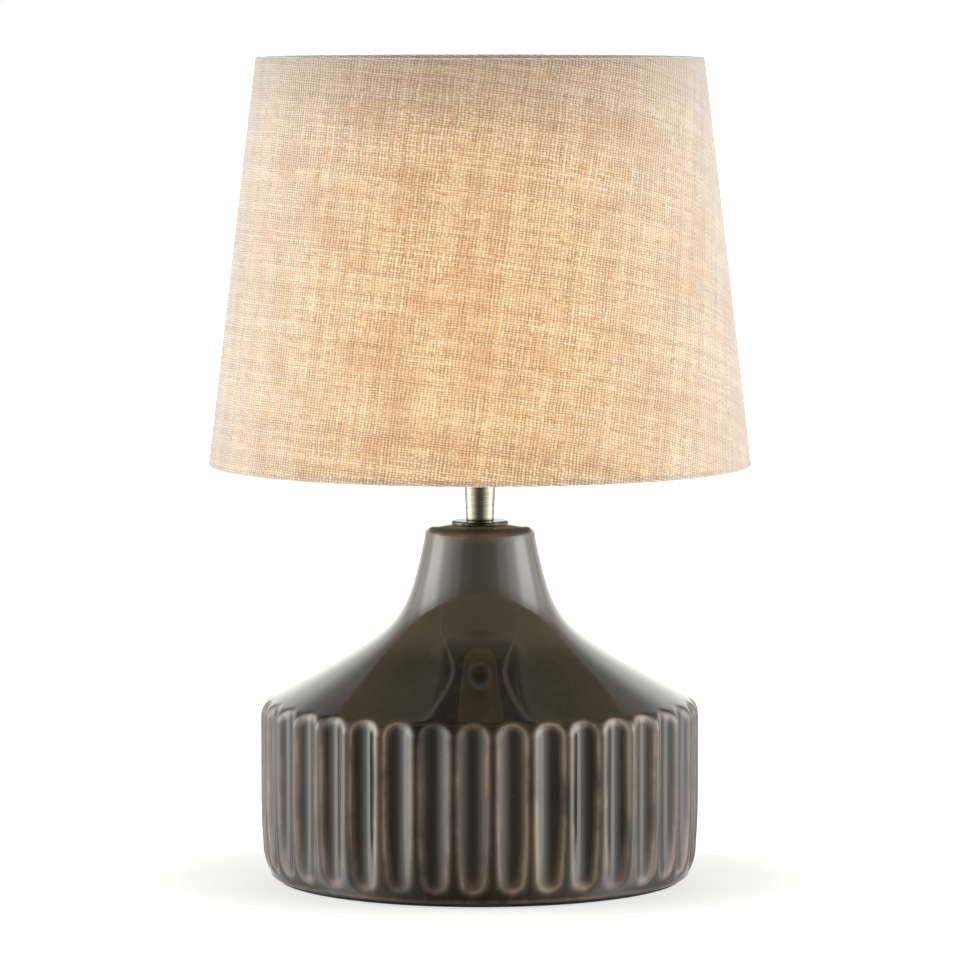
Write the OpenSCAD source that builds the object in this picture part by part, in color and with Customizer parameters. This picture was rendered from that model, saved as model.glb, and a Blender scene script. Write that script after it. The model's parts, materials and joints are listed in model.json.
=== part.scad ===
// Table lamp: fluted ceramic base, metal neck, E14 lampholder, tapered fabric shade.
// Units are millimetres. The origin is on the table under the middle of the base,
// +Z is up, and -Y is the front. The cable inlet is at the back.

/* [Ceramic base] */
// Height of the ceramic body, from its foot to the top of its neck
ceramic_h = 162.9; // [130:0.1:200]
// Diameter of the fluted drum
drum_d = 202.4; // [160:0.2:260]
// Height above the foot at which the drum turns in to the cone
shoulder_h = 79.2; // [60:0.1:100]
// Radius of the rounded shoulder
shoulder_round = 9; // [5:0.5:12]
// Diameter of the neck at its top
neck_d = 49.6; // [44:0.1:60]
// How much the neck widens for each millimetre down
neck_slope = 0.155; // [0.05:0.005:0.25]
// How much the cone widens for each millimetre down
cone_slope = 1.975; // [1.6:0.005:2.4]
// Softness of the curve between neck and cone
neck_blend = 12.7; // [8:0.1:16]
// Radius of the round lip at the top of the neck
lip_round = 2.8; // [1.5:0.1:4]
// Wall thickness of the ceramic body
wall_t = 5.3; // [4:0.1:7]
// Thickness of the ceramic roof under the neck washer
roof_t = 6.5; // [5:0.1:9]

/* [Flutes] */
// Number of flutes round the drum
flute_count = 36; // [24:2:40]
// Width of a flute at the surface
flute_w = 12.6; // [9:0.1:13.5]
// Depth of a flute
flute_depth = 3.4; // [2:0.1:4.5]
// Height above the foot of the centre of a flute's round lower end
flute_low = 8.9; // [8:0.1:16]

/* [Foot] */
// Thickness of the felt pad
pad_t = 1.6; // [1:0.1:3]
// Thickness of the bottom board
board_t = 3; // [2:0.1:4]
// Width of the foot ring, from the board's rebate to the edge of the pad
foot_ring_w = 5.7; // [4:0.1:8]
// How far the pad's edge stays inside the drum
pad_inset = 7.9; // [6:0.1:12]

/* [Cable inlet] */
// Diameter of the cable that the grommet takes
cable_d = 6; // [5:0.1:7]
// Wall of the grommet round the cable
grommet_wall = 1.1; // [0.8:0.1:2]
// Height of the inlet above the foot
inlet_h = 12.4; // [11:0.1:20]

/* [Neck hardware] */
// Outer diameter of the threaded tube
tube_d = 10; // [8:0.1:13]
// Wall of the threaded tube
tube_wall = 1; // [0.8:0.1:1.5]
// Diameter of the washer on the neck
washer_d = 26.2; // [20:0.1:34]
// Thickness of the washer on the neck
washer_t = 1.2; // [0.8:0.1:2.5]
// Diameter of the metal sleeve at its foot
sleeve_d = 12.9; // [12.4:0.1:20]
// Height of the metal sleeve
sleeve_h = 16.5; // [10:0.1:30]
// Width across flats of the lock nut
nut_af = 14; // [13:0.5:19]

/* [Lampholder] */
// Outer diameter of the lampholder's lower cap
cap_d = 27.2; // [25:0.1:32]
// Height of the lower cap
cap_h = 17; // [16:0.1:24]
// Diameter of the thread that takes the shade ring
skirt_d = 27.9; // [26:0.1:32]
// Height of the upper skirt
skirt_h = 26.8; // [25:0.1:34]
// Diameter of the flange that the shade rests on
seat_d = 40; // [36:0.5:46]
// Bore of the screw shell that takes the bulb
shell_bore = 14.1; // [14:0.05:14.5]

/* [Shade] */
// Outer diameter at the lower edge
shade_bottom_d = 250; // [190:1:320]
// Outer diameter at the upper edge
shade_top_d = 206; // [120:1:280]
// Height of the shade
shade_h = 188; // [140:1:240]
// Thickness of the woven fabric
fabric_t = 0.7; // [0.5:0.1:1.2]
// Thickness of the stiff lining
lining_t = 0.5; // [0.3:0.1:1]
// Diameter of the wire rings
wire_d = 3.2; // [2.5:0.1:4]
// Height of the fitter ring above the lower edge
fitter_drop = 14.8; // [8:0.1:24]
// Width of the fitter ring's flat
fitter_w = 6.2; // [4:0.1:9]
// Thickness of the fitter ring
fitter_t = 1.5; // [1:0.1:2.5]
// Number of arms
arm_count = 3; // [3:1:4]
// Diameter of an arm
arm_d = 3; // [2:0.1:4]

/* [Bulb] */
// Diameter of the glass ball
bulb_d = 45; // [35:1:60]
// Length of the bulb, from its contact to the top of the glass
bulb_len = 78; // [70:1:110]
// Thickness of the glass
glass_t = 0.8; // [0.6:0.1:1.2]

/* [Clearances] */
// Gap between faces that turn or lift away from each other
gap = 0.3; // [0.2:0.05:0.5]
// Radial gap in a turning thread
thread_gap = 0.05; // [0.02:0.01:0.1]
// Radial gap round the bulb's cap in the screw shell
bulb_gap = 0.2; // [0.1:0.05:0.3]
// Radial gap round the board in its rebate
board_gap = 0.3; // [0.1:0.1:0.6]

/* [Hidden] */
$fn = 96;

// Heights, from the table up
foot_z = pad_t;
shoulder_z = foot_z + shoulder_h;
neck_z = foot_z + ceramic_h;
sleeve_z = neck_z + washer_t;
cap_z = sleeve_z + sleeve_h;
skirt_z = cap_z + cap_h;
skirt_top_z = skirt_z + skirt_h;

// Ceramic body
drum_r = drum_d / 2;
neck_r = neck_d / 2;
neck_line_r = neck_r - 2.3;
cone_line_r = drum_r - 1.6;
flute_r = (flute_w * flute_w / 4 + flute_depth * flute_depth) / (2 * flute_depth);
flute_axis_r = drum_r - flute_depth + flute_r;
cavity_r = drum_r - flute_depth - wall_t - 1;
foot_sweep_r = 28;
foot_sweep_z = foot_z + 15.4;
foot_wall_r = drum_r - 0.9;
drum_full_z = foot_z + 38;
toe_round = 1.8;
pad_r = drum_r - pad_inset;
rebate_r = pad_r - foot_ring_w;
ledge_w = 3.5;
dome_h = 1.1;
stud_hole_r = tube_d / 2 + 0.3;
roof_z = neck_z - roof_t;

// Neck hardware
tube_r = tube_d / 2 - thread_gap;
tube_bore_r = tube_d / 2 - tube_wall;
stud_bore_r = tube_d / 2;
under_washer_r = 12;
rubber_t = 2;
steel_t = 1.4;
lock_t = 0.8;
nut_t = 4;
rubber_z = roof_z - rubber_t;
steel_z = rubber_z - steel_t;
lock_z = steel_z - lock_t;
nut_z = lock_z - nut_t;

// Lampholder
cap_r = cap_d / 2;
cap_floor_t = 6.5;
cap_floor_z = cap_z + cap_floor_t;
tube_z = nut_z - 3;
tube_top_z = cap_floor_z + 0.5;
cap_wall = 2;
block_r = cap_r - cap_wall - 0.1;
block_z = cap_floor_z + 3.3;
block_top_z = skirt_z + 1.8;
screw_off = 6.3;
skirt_r = skirt_d / 2 - thread_gap;
seat_t = 2.5;
seat_z = skirt_z + 6.8;
shell_r = shell_bore / 2;
shell_wall = 0.5;
shell_z = skirt_z + 4.3;
shell_top_z = skirt_top_z - 4;
mouth_r = shell_r + 1.85;
contact_top_z = block_top_z + 1.8;

// Shade
fitter_z = seat_z + gap;
shade_z = seat_z - fitter_drop;
shade_top_z = shade_z + shade_h;
shade_bottom_r = shade_bottom_d / 2;
shade_top_r = shade_top_d / 2;
shade_taper = (shade_bottom_r - shade_top_r) / shade_h;
shade_tilt = atan(shade_taper);
wire_r = wire_d / 2;
wrap_r = wire_r + fabric_t;
low_wire_z = shade_z + wrap_r;
high_wire_z = shade_top_z - wrap_r;
fitter_bore_r = skirt_d / 2 + 0.6;
fitter_r = fitter_bore_r + fitter_w;
arm_r = arm_d / 2;
arm_start_r = fitter_r - 0.1;

// Ring nut
nut_flange_t = 2;
nut_grip_h = 6;
ring_nut_z = fitter_z + fitter_t + gap;

// Bulb
bulb_z = contact_top_z + gap;
ball_r = bulb_d / 2;
ball_z = bulb_z + bulb_len - ball_r;
bulb_cap_r = shell_r - bulb_gap;
bulb_tip_h = 1.3;
bulb_thread_z = bulb_z + 4;
bulb_flare_z = bulb_z + 21;
bulb_rim_z = bulb_flare_z + 4;
bulb_flare_r = mouth_r - 0.4;
glass_neck_r = bulb_flare_r - 0.3;
glass_foot_z = bulb_rim_z - 1.5;

// ---- Shared outlines ----

// Points along an arc from angle a0 to a1
function arc_points(x, y, r, a0, a1, n) =
    [for (i = [0:n]) let (a = a0 + (a1 - a0) * i / n) [x + r * cos(a), y + r * sin(a)]];

// Radius of the smooth curve that runs from the neck into the cone
function throat_r(z) =
    let (neck = neck_line_r + neck_slope * (neck_z - z))
    let (cone = cone_line_r + cone_slope * (shoulder_z - z))
    (neck + cone) / 2 + sqrt(pow((neck - cone) / 2, 2) + neck_blend * neck_blend);

// Radius of the ceramic's inside, parallel to the outside
function inside_r(z) = min(cavity_r, throat_r(z + wall_t * 0.66) - wall_t * 0.94);

// Outer radius of the shade at a height
function shade_r(z) = shade_bottom_r - (z - shade_z) * shade_taper;

// Radius of a wire ring's centre line, with the fabric rolled round it
function wire_ring_r(z) = shade_r(z) - fabric_t - lining_t - (wrap_r + 0.05) / cos(shade_tilt);

module tube_shape(outer_r, inner_r, h) {
    difference() {
        cylinder(r = outer_r, h = h);
        translate([0, 0, -1]) cylinder(r = inner_r, h = h + 2);
    }
}

// ---- Base ----

module felt_pad() {
    color([0.10, 0.10, 0.10]) cylinder(r = pad_r, h = pad_t);
}

module bottom_board() {
    color([0.42, 0.30, 0.20])
        translate([0, 0, foot_z]) cylinder(r = rebate_r - board_gap, h = board_t);
}

// Outside of the ceramic body, from the toe of the foot to the top of the neck
function ceramic_outside() =
    let (shoulder_turn = atan(cone_slope) - 1.2)
    let (shoulder_c = shoulder_z + 0.4 - shoulder_round * tan(shoulder_turn / 2))
    let (cone_start = shoulder_c + shoulder_round * sin(shoulder_turn))
    let (lip_z = neck_z - dome_h - lip_round)
    let (sweep_r = foot_wall_r - foot_sweep_r)
    let (sweep_low = asin((foot_z + toe_round - foot_sweep_z) / foot_sweep_r))
    let (toe_r = sweep_r + foot_sweep_r * cos(sweep_low) - toe_round)
    concat(
        arc_points(toe_r, foot_z + toe_round, toe_round, -90, -25, 4),
        arc_points(sweep_r, foot_sweep_z, foot_sweep_r, sweep_low + 3, 0, 5),
        [[drum_r, drum_full_z]],
        arc_points(drum_r - shoulder_round, shoulder_c, shoulder_round, 0, shoulder_turn, 7),
        [for (i = [1:18])
            let (z = cone_start + (lip_z - cone_start) * pow(i / 18, 1.35))
            [throat_r(z), z]],
        arc_points(throat_r(lip_z) - lip_round, lip_z, lip_round, 15, 82, 5),
        [[washer_d / 2, neck_z]]
    );

// Inside of the ceramic body, from the roof down to the foot's ledge
function ceramic_inside() =
    concat(
        [for (i = [0:14])
            let (z = roof_z + (foot_z + board_t + 12 - roof_z) * i / 14)
            [inside_r(z), z]],
        [[rebate_r - ledge_w, foot_z + board_t + 3], [rebate_r - ledge_w, foot_z + board_t]]
    );

module flute() {
    translate([flute_axis_r, 0, foot_z + flute_low]) {
        cylinder(r = flute_r, h = shoulder_h);
        sphere(r = flute_r);
    }
}

// Grommet sizes, along Y at the back
grommet_r = cable_d / 2 + 0.1 + grommet_wall;
grommet_lip = 1.8;
grommet_flange_t = 1.5;
inlet_z = foot_z + inlet_h;
inlet_out_y = drum_r - flute_depth + 0.1;
inlet_in_y = cavity_r + 0.5;

// A round bar along +Y from y0 to y1 at the inlet's height
module inlet_bar(r, y0, y1) {
    translate([0, y0, inlet_z]) rotate([-90, 0, 0]) cylinder(r = r, h = y1 - y0);
}

module ceramic_base() {
    color([0.26, 0.22, 0.18])
    difference() {
        rotate_extrude()
            polygon(concat(
                [[rebate_r, foot_z]],
                ceramic_outside(),
                [[stud_hole_r, neck_z], [stud_hole_r, roof_z]],
                ceramic_inside(),
                [[rebate_r, foot_z + board_t]]
            ));
        for (i = [0:flute_count - 1])
            rotate([0, 0, 90 + i * 360 / flute_count]) flute();
        inlet_bar(grommet_r, cavity_r - 5, drum_r + 5);
        inlet_bar(grommet_r + grommet_lip + 0.1, inlet_out_y, drum_r + 5);
        inlet_bar(grommet_r + grommet_lip + 0.3, cavity_r - 5, inlet_in_y);
    }
}

module cable_grommet() {
    color([0.08, 0.08, 0.08])
    difference() {
        union() {
            inlet_bar(grommet_r, inlet_in_y - grommet_flange_t, inlet_out_y + grommet_flange_t);
            inlet_bar(grommet_r + grommet_lip, inlet_out_y, inlet_out_y + grommet_flange_t);
            inlet_bar(grommet_r + grommet_lip, inlet_in_y - grommet_flange_t, inlet_in_y);
        }
        inlet_bar(cable_d / 2 + 0.1, cavity_r - 5, drum_r + 5);
    }
}

// ---- Neck hardware ----

module threaded_tube() {
    color([0.72, 0.66, 0.45])
        translate([0, 0, tube_z]) tube_shape(tube_r, tube_bore_r, tube_top_z - tube_z);
}

module rubber_washer() {
    color([0.09, 0.09, 0.09])
        translate([0, 0, rubber_z]) tube_shape(under_washer_r, stud_bore_r, rubber_t);
}

module steel_washer() {
    color([0.66, 0.67, 0.68])
        translate([0, 0, steel_z]) tube_shape(under_washer_r, stud_bore_r, steel_t);
}

// Lock washer with teeth round its edge
module lock_washer() {
    teeth = 12;
    tooth_w = 1.2;
    color([0.60, 0.61, 0.62])
    translate([0, 0, lock_z])
    difference() {
        tube_shape(nut_af / 2 + 1.2, stud_bore_r, lock_t);
        for (i = [0:teeth - 1])
            rotate([0, 0, i * 360 / teeth])
                translate([nut_af / 2 - 0.4, -tooth_w / 2, -1]) cube([5, tooth_w, lock_t + 2]);
    }
}

module lock_nut() {
    color([0.70, 0.66, 0.50])
    translate([0, 0, nut_z])
    difference() {
        cylinder(r = nut_af / sqrt(3), h = nut_t, $fn = 6);
        translate([0, 0, -1]) cylinder(r = stud_bore_r, h = nut_t + 2);
    }
}

// Slightly dished washer that covers the hole in the neck
module neck_washer() {
    color([0.16, 0.15, 0.14])
    translate([0, 0, neck_z])
    rotate_extrude()
        polygon([
            [stud_bore_r, 0], [washer_d / 2, 0], [washer_d / 2, washer_t * 0.6],
            [washer_d / 2 - 0.5, washer_t], [stud_bore_r, washer_t]
        ]);
}

// Sleeve that widens slowly and then opens out under the lampholder
module neck_sleeve() {
    flare_r = cap_r - 5;
    steps = 10;
    color([0.66, 0.62, 0.55])
    rotate_extrude()
        polygon(concat(
            [[stud_bore_r, sleeve_z], [sleeve_d / 2, sleeve_z]],
            [for (i = [0:steps])
                let (t = i / steps)
                [sleeve_d / 2 + 0.5 * t + (flare_r - sleeve_d / 2 - 0.5) * pow(t, 5),
                 sleeve_z + 0.4 + (sleeve_h - 0.4) * t]],
            [[stud_bore_r, cap_z]]
        ));
}

// ---- Lampholder ----

grub_z = cap_z + 3.2;
grub_r = 1.5;

module holder_cap() {
    color([0.12, 0.11, 0.11])
    difference() {
        rotate_extrude()
            polygon(concat(
                [[stud_bore_r, cap_z], [cap_r - 5, cap_z]],
                arc_points(cap_r - 5, cap_z + 5, 5, -75, 0, 5),
                [[cap_r, skirt_z], [cap_r - cap_wall, skirt_z], [cap_r - cap_wall, block_z],
                 [cap_r - cap_wall - 2, block_z], [cap_r - cap_wall - 2, cap_floor_z],
                 [stud_bore_r, cap_floor_z]]
            ));
        translate([0, 0, grub_z]) rotate([0, 90, 0]) cylinder(r = grub_r, h = cap_r + 5);
    }
}

// Screw that stops the lampholder from turning on the tube
module grub_screw() {
    slot_w = 0.5;
    color([0.62, 0.62, 0.62])
    translate([0, 0, grub_z])
    difference() {
        translate([tube_d / 2, 0, 0]) rotate([0, 90, 0]) cylinder(r = grub_r, h = 5.6);
        translate([tube_d / 2 + 4.9, -2, -slot_w / 2]) cube([2, 4, slot_w]);
    }
}

module terminal_block() {
    wire_hole_r = 1.6;
    color([0.90, 0.88, 0.83])
    translate([0, 0, block_z])
    difference() {
        cylinder(r = block_r, h = block_top_z - block_z);
        for (side = [-1, 1]) {
            translate([side * screw_off, 0, -1]) cylinder(r = grub_r, h = 6.5);
            translate([0, side * 7.5, -1]) cylinder(r = wire_hole_r, h = 14);
        }
    }
}

module terminal_screws() {
    head_r = 2.4;
    head_h = 1.8;
    color([0.75, 0.70, 0.50])
    for (side = [-1, 1])
        translate([side * screw_off, 0, block_z])
        difference() {
            union() {
                translate([0, 0, -head_h]) cylinder(r = head_r, h = head_h);
                cylinder(r = grub_r, h = 5);
            }
            translate([-3, -0.3, -head_h - 1]) cube([6, 0.6, 1.6]);
        }
}

// Springy brass strip that meets the bulb's tip
module centre_contact() {
    strip_w = 3;
    strip_t = 0.4;
    rise = contact_top_z - block_top_z;
    color([0.80, 0.64, 0.30])
    translate([0, strip_w / 2, block_top_z])
    rotate([90, 0, 0])
    linear_extrude(strip_w)
        polygon([
            [-5.5, 0], [-5.5, strip_t], [-3.4, strip_t], [-1.2, rise], [1.2, rise],
            [3, strip_t + 0.2], [3, 0], [2.6, 0], [1, rise - strip_t],
            [-1, rise - strip_t], [-3.2, 0]
        ]);
}

// Tab that joins the screw shell to its terminal
module side_contact() {
    tab_w = 4;
    rise = shell_z - block_top_z;
    color([0.80, 0.64, 0.30])
    translate([0, 0, block_top_z])
    intersection() {
        union() {
            tube_shape(shell_r + shell_wall, shell_r, rise);
            tube_shape(shell_r + shell_wall, shell_r - 2, 0.5);
        }
        translate([0, -tab_w / 2, -1]) cube([shell_r + 5, tab_w, rise + 2]);
    }
}

module screw_shell() {
    color([0.78, 0.72, 0.52])
        translate([0, 0, shell_z]) tube_shape(shell_r + shell_wall, shell_r, shell_top_z - shell_z);
}

// Upper skirt, with the flange that the shade rests on and a thread above it
module holder_skirt() {
    pitch = 2;
    groove = 0.45;
    turns = floor((skirt_top_z - 2 - seat_z) / pitch);
    color([0.12, 0.11, 0.11])
    rotate_extrude()
        polygon(concat(
            [[block_r + 0.1, skirt_z], [skirt_r, skirt_z], [skirt_r, seat_z - seat_t],
             [seat_d / 2 - 0.6, seat_z - seat_t], [seat_d / 2, seat_z - seat_t + 0.6],
             [seat_d / 2, seat_z], [skirt_r, seat_z]],
            [for (i = [0:turns - 1]) for (step = [0:3])
                [skirt_r - (step == 1 || step == 2 ? groove : 0),
                 seat_z + 0.8 + i * pitch + [0, 0.4, 0.8, 1.2][step]]],
            [[skirt_r, skirt_top_z - 0.8], [skirt_r - 0.8, skirt_top_z],
             [mouth_r, skirt_top_z], [mouth_r, shell_top_z],
             [shell_r + shell_wall, shell_top_z], [shell_r + shell_wall, block_top_z],
             [block_r + 0.1, block_top_z]]
        ));
}

module shade_ring_nut() {
    grip_r = skirt_d / 2 + 3;
    grips = 24;
    grip_cut = 0.7;
    color([0.12, 0.11, 0.11])
    translate([0, 0, ring_nut_z])
    difference() {
        union() {
            cylinder(r = seat_d / 2, h = nut_flange_t);
            cylinder(r = grip_r, h = nut_grip_h);
        }
        translate([0, 0, -1]) cylinder(r = skirt_d / 2, h = nut_grip_h + 2);
        for (i = [0:grips - 1])
            rotate([0, 0, i * 360 / grips])
                translate([grip_r + 0.1, 0, nut_flange_t]) cylinder(r = grip_cut, h = nut_grip_h);
    }
}

// ---- Shade ----

module fitter_ring() {
    color([0.92, 0.92, 0.90])
        translate([0, 0, fitter_z]) tube_shape(fitter_r, fitter_bore_r, fitter_t);
}

module wire_ring(z) {
    rotate_extrude() translate([wire_ring_r(z), z]) circle(r = wire_r);
}

module bottom_wire_ring() {
    color([0.92, 0.92, 0.90]) wire_ring(low_wire_z);
}

module top_wire_ring() {
    color([0.92, 0.92, 0.90]) wire_ring(high_wire_z);
}

// One arm of radius r for each place, from the fitter ring to the lower wire ring
module arm_rods(r) {
    end_r = wire_ring_r(low_wire_z);
    drop = fitter_z + fitter_t / 2 - low_wire_z;
    run = end_r - arm_start_r;
    for (i = [0:arm_count - 1])
        rotate([0, 0, 90 + i * 360 / arm_count])
            translate([arm_start_r, 0, fitter_z + fitter_t / 2])
                rotate([0, 90 + atan(drop / run), 0]) cylinder(r = r, h = norm([run, drop]));
}

module fitter_arms() {
    color([0.92, 0.92, 0.90])
    difference() {
        arm_rods(arm_r);
        wire_ring(low_wire_z);
        translate([0, 0, fitter_z]) cylinder(r = fitter_r, h = fitter_t);
    }
}

module shade_lining() {
    low = shade_z + fabric_t;
    high = shade_top_z - fabric_t;
    color([0.96, 0.95, 0.92])
    rotate_extrude()
        polygon([
            [shade_r(low) - fabric_t, low], [shade_r(high) - fabric_t, high],
            [shade_r(high) - fabric_t - lining_t, high], [shade_r(low) - fabric_t - lining_t, low]
        ]);
}

// Edge of the fabric turned in at one rim and rolled round its wire ring
module rolled_edge(wire_z, edge_z) {
    c = wire_ring_r(wire_z);
    difference() {
        translate([c, wire_z]) circle(r = wrap_r);
        translate([c, wire_z]) circle(r = wire_r);
    }
    translate([c, edge_z < wire_z ? edge_z : edge_z - fabric_t])
        square([shade_r(edge_z) - c - fabric_t / 2, fabric_t]);
}

module shade_fabric() {
    color([0.90, 0.80, 0.62])
    difference() {
        rotate_extrude() {
            polygon([
                [shade_r(shade_z), shade_z], [shade_r(shade_top_z), shade_top_z],
                [shade_r(shade_top_z) - fabric_t, shade_top_z], [shade_r(shade_z) - fabric_t, shade_z]
            ]);
            rolled_edge(low_wire_z, shade_z);
            rolled_edge(high_wire_z, shade_top_z);
        }
        arm_rods(arm_r + 0.2);
    }
}

// ---- Bulb ----

module bulb_contact() {
    color([0.75, 0.75, 0.77])
    translate([0, 0, bulb_z])
    rotate_extrude()
        polygon([[0, 0], [1.4, 0], [2.3, 0.6], [2.3, bulb_tip_h], [0, bulb_tip_h]]);
}

module bulb_insulator() {
    color([0.07, 0.07, 0.08])
    translate([0, 0, bulb_z + bulb_tip_h])
    rotate_extrude()
        polygon([
            [0, 0], [3, 0], [bulb_cap_r - 0.8, bulb_thread_z - bulb_z - bulb_tip_h],
            [0, bulb_thread_z - bulb_z - bulb_tip_h]
        ]);
}

// Screw cap with round threads and a flared rim
module bulb_cap() {
    pitch = 2.8;
    depth = 0.7;
    turns = 5;
    wall = 0.35;
    crest = [0, 0.75, 1, 0.75];
    color([0.78, 0.77, 0.72])
    rotate_extrude()
        polygon(concat(
            [[0, bulb_thread_z], [bulb_cap_r - 0.8, bulb_thread_z]],
            [for (i = [0:turns - 1]) for (step = [0:3])
                [bulb_cap_r - depth * (1 - crest[step]),
                 bulb_thread_z + 0.6 + (i + step / 4) * pitch]],
            [[bulb_cap_r - depth, bulb_flare_z - 1], [bulb_flare_r, bulb_flare_z + 1.5],
             [bulb_flare_r, bulb_rim_z], [glass_neck_r, bulb_rim_z],
             [glass_neck_r, bulb_flare_z + 1.8], [bulb_cap_r - depth - wall, bulb_flare_z - 0.6],
             [bulb_cap_r - depth - wall, bulb_thread_z + wall], [0, bulb_thread_z + wall]]
        ));
}

// Outline of the glass, drawn in by the given thickness
module glass_outline(inset) {
    blend_z = ball_z - ball_r * 0.82;
    blend_r = sqrt(ball_r * ball_r - pow(ball_r * 0.82, 2));
    translate([0, ball_z])
        intersection() {
            circle(r = ball_r - inset);
            translate([0, -ball_r]) square(2 * ball_r);
        }
    polygon([
        [0, glass_foot_z + inset], [glass_neck_r - inset, glass_foot_z + inset],
        [glass_neck_r - inset, bulb_rim_z], [glass_neck_r + 1 - inset, bulb_rim_z + 3],
        [blend_r - inset, blend_z], [0, blend_z]
    ]);
}

module bulb_glass() {
    color([0.97, 0.96, 0.92, 0.8])
    rotate_extrude()
    difference() {
        glass_outline(0);
        glass_outline(glass_t);
    }
}

stem_z = glass_foot_z + glass_t;
stem_top_z = ball_z - 8;
stem_r = 2;
filament_len = 22;
filament_r = 0.9;
filament_z = ball_z - 9;
filament_off = 7;
filament_count = 4;
lead_r = 0.35;

// Glass stem that carries the filaments
module filament_stem() {
    color([0.85, 0.88, 0.88, 0.6])
    rotate_extrude()
        polygon([
            [0, stem_z], [5, stem_z], [stem_r, stem_z + 5], [stem_r, stem_top_z],
            [1.2, stem_top_z + 0.8], [0, stem_top_z + 0.8]
        ]);
}

// Thin wires from the stem to both ends of each filament
module filament_wires() {
    top_z = filament_z + filament_len;
    color([0.72, 0.72, 0.72]) {
        translate([0, 0, stem_top_z + 0.8]) cylinder(r = lead_r, h = top_z - stem_top_z - 0.8);
        for (i = [0:filament_count - 1])
            rotate([0, 0, 45 + i * 360 / filament_count]) {
                translate([0, 0, top_z]) rotate([0, 90, 0]) cylinder(r = lead_r, h = filament_off);
                translate([filament_off, 0, top_z - lead_r]) cylinder(r = lead_r, h = 2 * lead_r);
                translate([stem_r, 0, filament_z - 1])
                    rotate([0, 90, 0]) cylinder(r = lead_r, h = filament_off - stem_r);
                translate([filament_off, 0, filament_z - 1]) cylinder(r = lead_r, h = 1);
            }
    }
}

module led_filaments() {
    color([0.95, 0.75, 0.30])
    for (i = [0:filament_count - 1])
        rotate([0, 0, 45 + i * 360 / filament_count])
            translate([filament_off, 0, filament_z])
                cylinder(r = filament_r, h = filament_len - lead_r);
}

felt_pad();
bottom_board();
ceramic_base();
cable_grommet();
threaded_tube();
rubber_washer();
steel_washer();
lock_washer();
lock_nut();
neck_washer();
neck_sleeve();
holder_cap();
grub_screw();
terminal_block();
terminal_screws();
centre_contact();
side_contact();
screw_shell();
holder_skirt();
shade_ring_nut();
fitter_ring();
fitter_arms();
bottom_wire_ring();
top_wire_ring();
shade_lining();
shade_fabric();
bulb_contact();
bulb_insulator();
bulb_cap();
bulb_glass();
filament_stem();
filament_wires();
led_filaments();
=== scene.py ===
import json
import math
import bpy
import numpy as np
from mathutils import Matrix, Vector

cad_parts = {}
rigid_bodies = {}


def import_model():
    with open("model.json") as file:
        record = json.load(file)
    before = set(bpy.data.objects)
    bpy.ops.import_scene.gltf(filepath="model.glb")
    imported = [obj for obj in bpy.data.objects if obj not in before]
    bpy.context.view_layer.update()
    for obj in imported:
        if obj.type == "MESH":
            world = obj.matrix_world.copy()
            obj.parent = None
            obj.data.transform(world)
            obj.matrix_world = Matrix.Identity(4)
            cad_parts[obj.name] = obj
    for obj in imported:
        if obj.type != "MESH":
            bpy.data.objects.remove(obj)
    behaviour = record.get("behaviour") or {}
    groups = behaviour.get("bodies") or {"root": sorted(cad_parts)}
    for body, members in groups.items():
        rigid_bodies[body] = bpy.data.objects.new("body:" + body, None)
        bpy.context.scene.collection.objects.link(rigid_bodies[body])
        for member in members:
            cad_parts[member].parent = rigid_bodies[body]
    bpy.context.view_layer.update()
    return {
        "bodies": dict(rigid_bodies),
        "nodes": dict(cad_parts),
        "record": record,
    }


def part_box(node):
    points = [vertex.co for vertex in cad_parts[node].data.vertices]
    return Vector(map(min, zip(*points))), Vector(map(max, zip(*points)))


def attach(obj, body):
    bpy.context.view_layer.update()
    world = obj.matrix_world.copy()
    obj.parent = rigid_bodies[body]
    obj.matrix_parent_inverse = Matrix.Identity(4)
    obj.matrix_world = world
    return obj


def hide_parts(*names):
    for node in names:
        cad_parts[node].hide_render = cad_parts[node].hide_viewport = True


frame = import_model()
mm = 0.001


def nodeRadius(name):  # widest reach of a node from the lamp's axis, in mm
    co = np.array([v.co for v in frame["nodes"][name].data.vertices])
    return float(np.hypot(co[:, 0], co[:, 1]).max() / mm)


def span(name):  # lowest and highest z of a node, in mm
    low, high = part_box(name)
    return low.z / mm, high.z / mm


def arc(x, y, radius, start, end, steps):
    angles = np.radians(np.linspace(start, end, steps))
    return np.stack([x + radius * np.cos(angles), y + radius * np.sin(angles)], -1)


def revolve(outline, columns):  # (rows, 2) outline in mm to a (rows, columns, 3) grid in mm
    turn = np.linspace(0, 2 * math.pi, columns, endpoint=False)
    r, z = outline[:, 0][:, None], outline[:, 1][:, None]
    return np.stack([r * np.sin(turn), -r * np.cos(turn), z + 0 * turn], -1)


def gridPiece(name, grid, materials, inside=None):  # a closed skin, joined round both ways
    rows, columns = grid.shape[:2]
    r, c = np.arange(rows)[:, None], np.arange(columns)[None, :]
    nextRow, nextColumn = (r + 1) % rows, (c + 1) % columns
    low, high = r * columns, nextRow * columns
    quads = np.stack([low + c, low + nextColumn, high + nextColumn, high + c], -1).reshape(-1, 4)
    mesh = bpy.data.meshes.new(name)
    mesh.from_pydata((grid.reshape(-1, 3) * mm).tolist(), [], quads.tolist())
    mesh.polygons.foreach_set("use_smooth", np.ones(len(quads), bool))
    for material in materials:
        mesh.materials.append(material)
    if inside is not None:  # rows whose faces take the second material
        mesh.polygons.foreach_set("material_index", np.repeat(inside, columns).astype(np.int32))
    mesh.update()
    piece = bpy.data.objects.new(name, mesh)
    bpy.context.scene.collection.objects.link(piece)
    return piece


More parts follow.
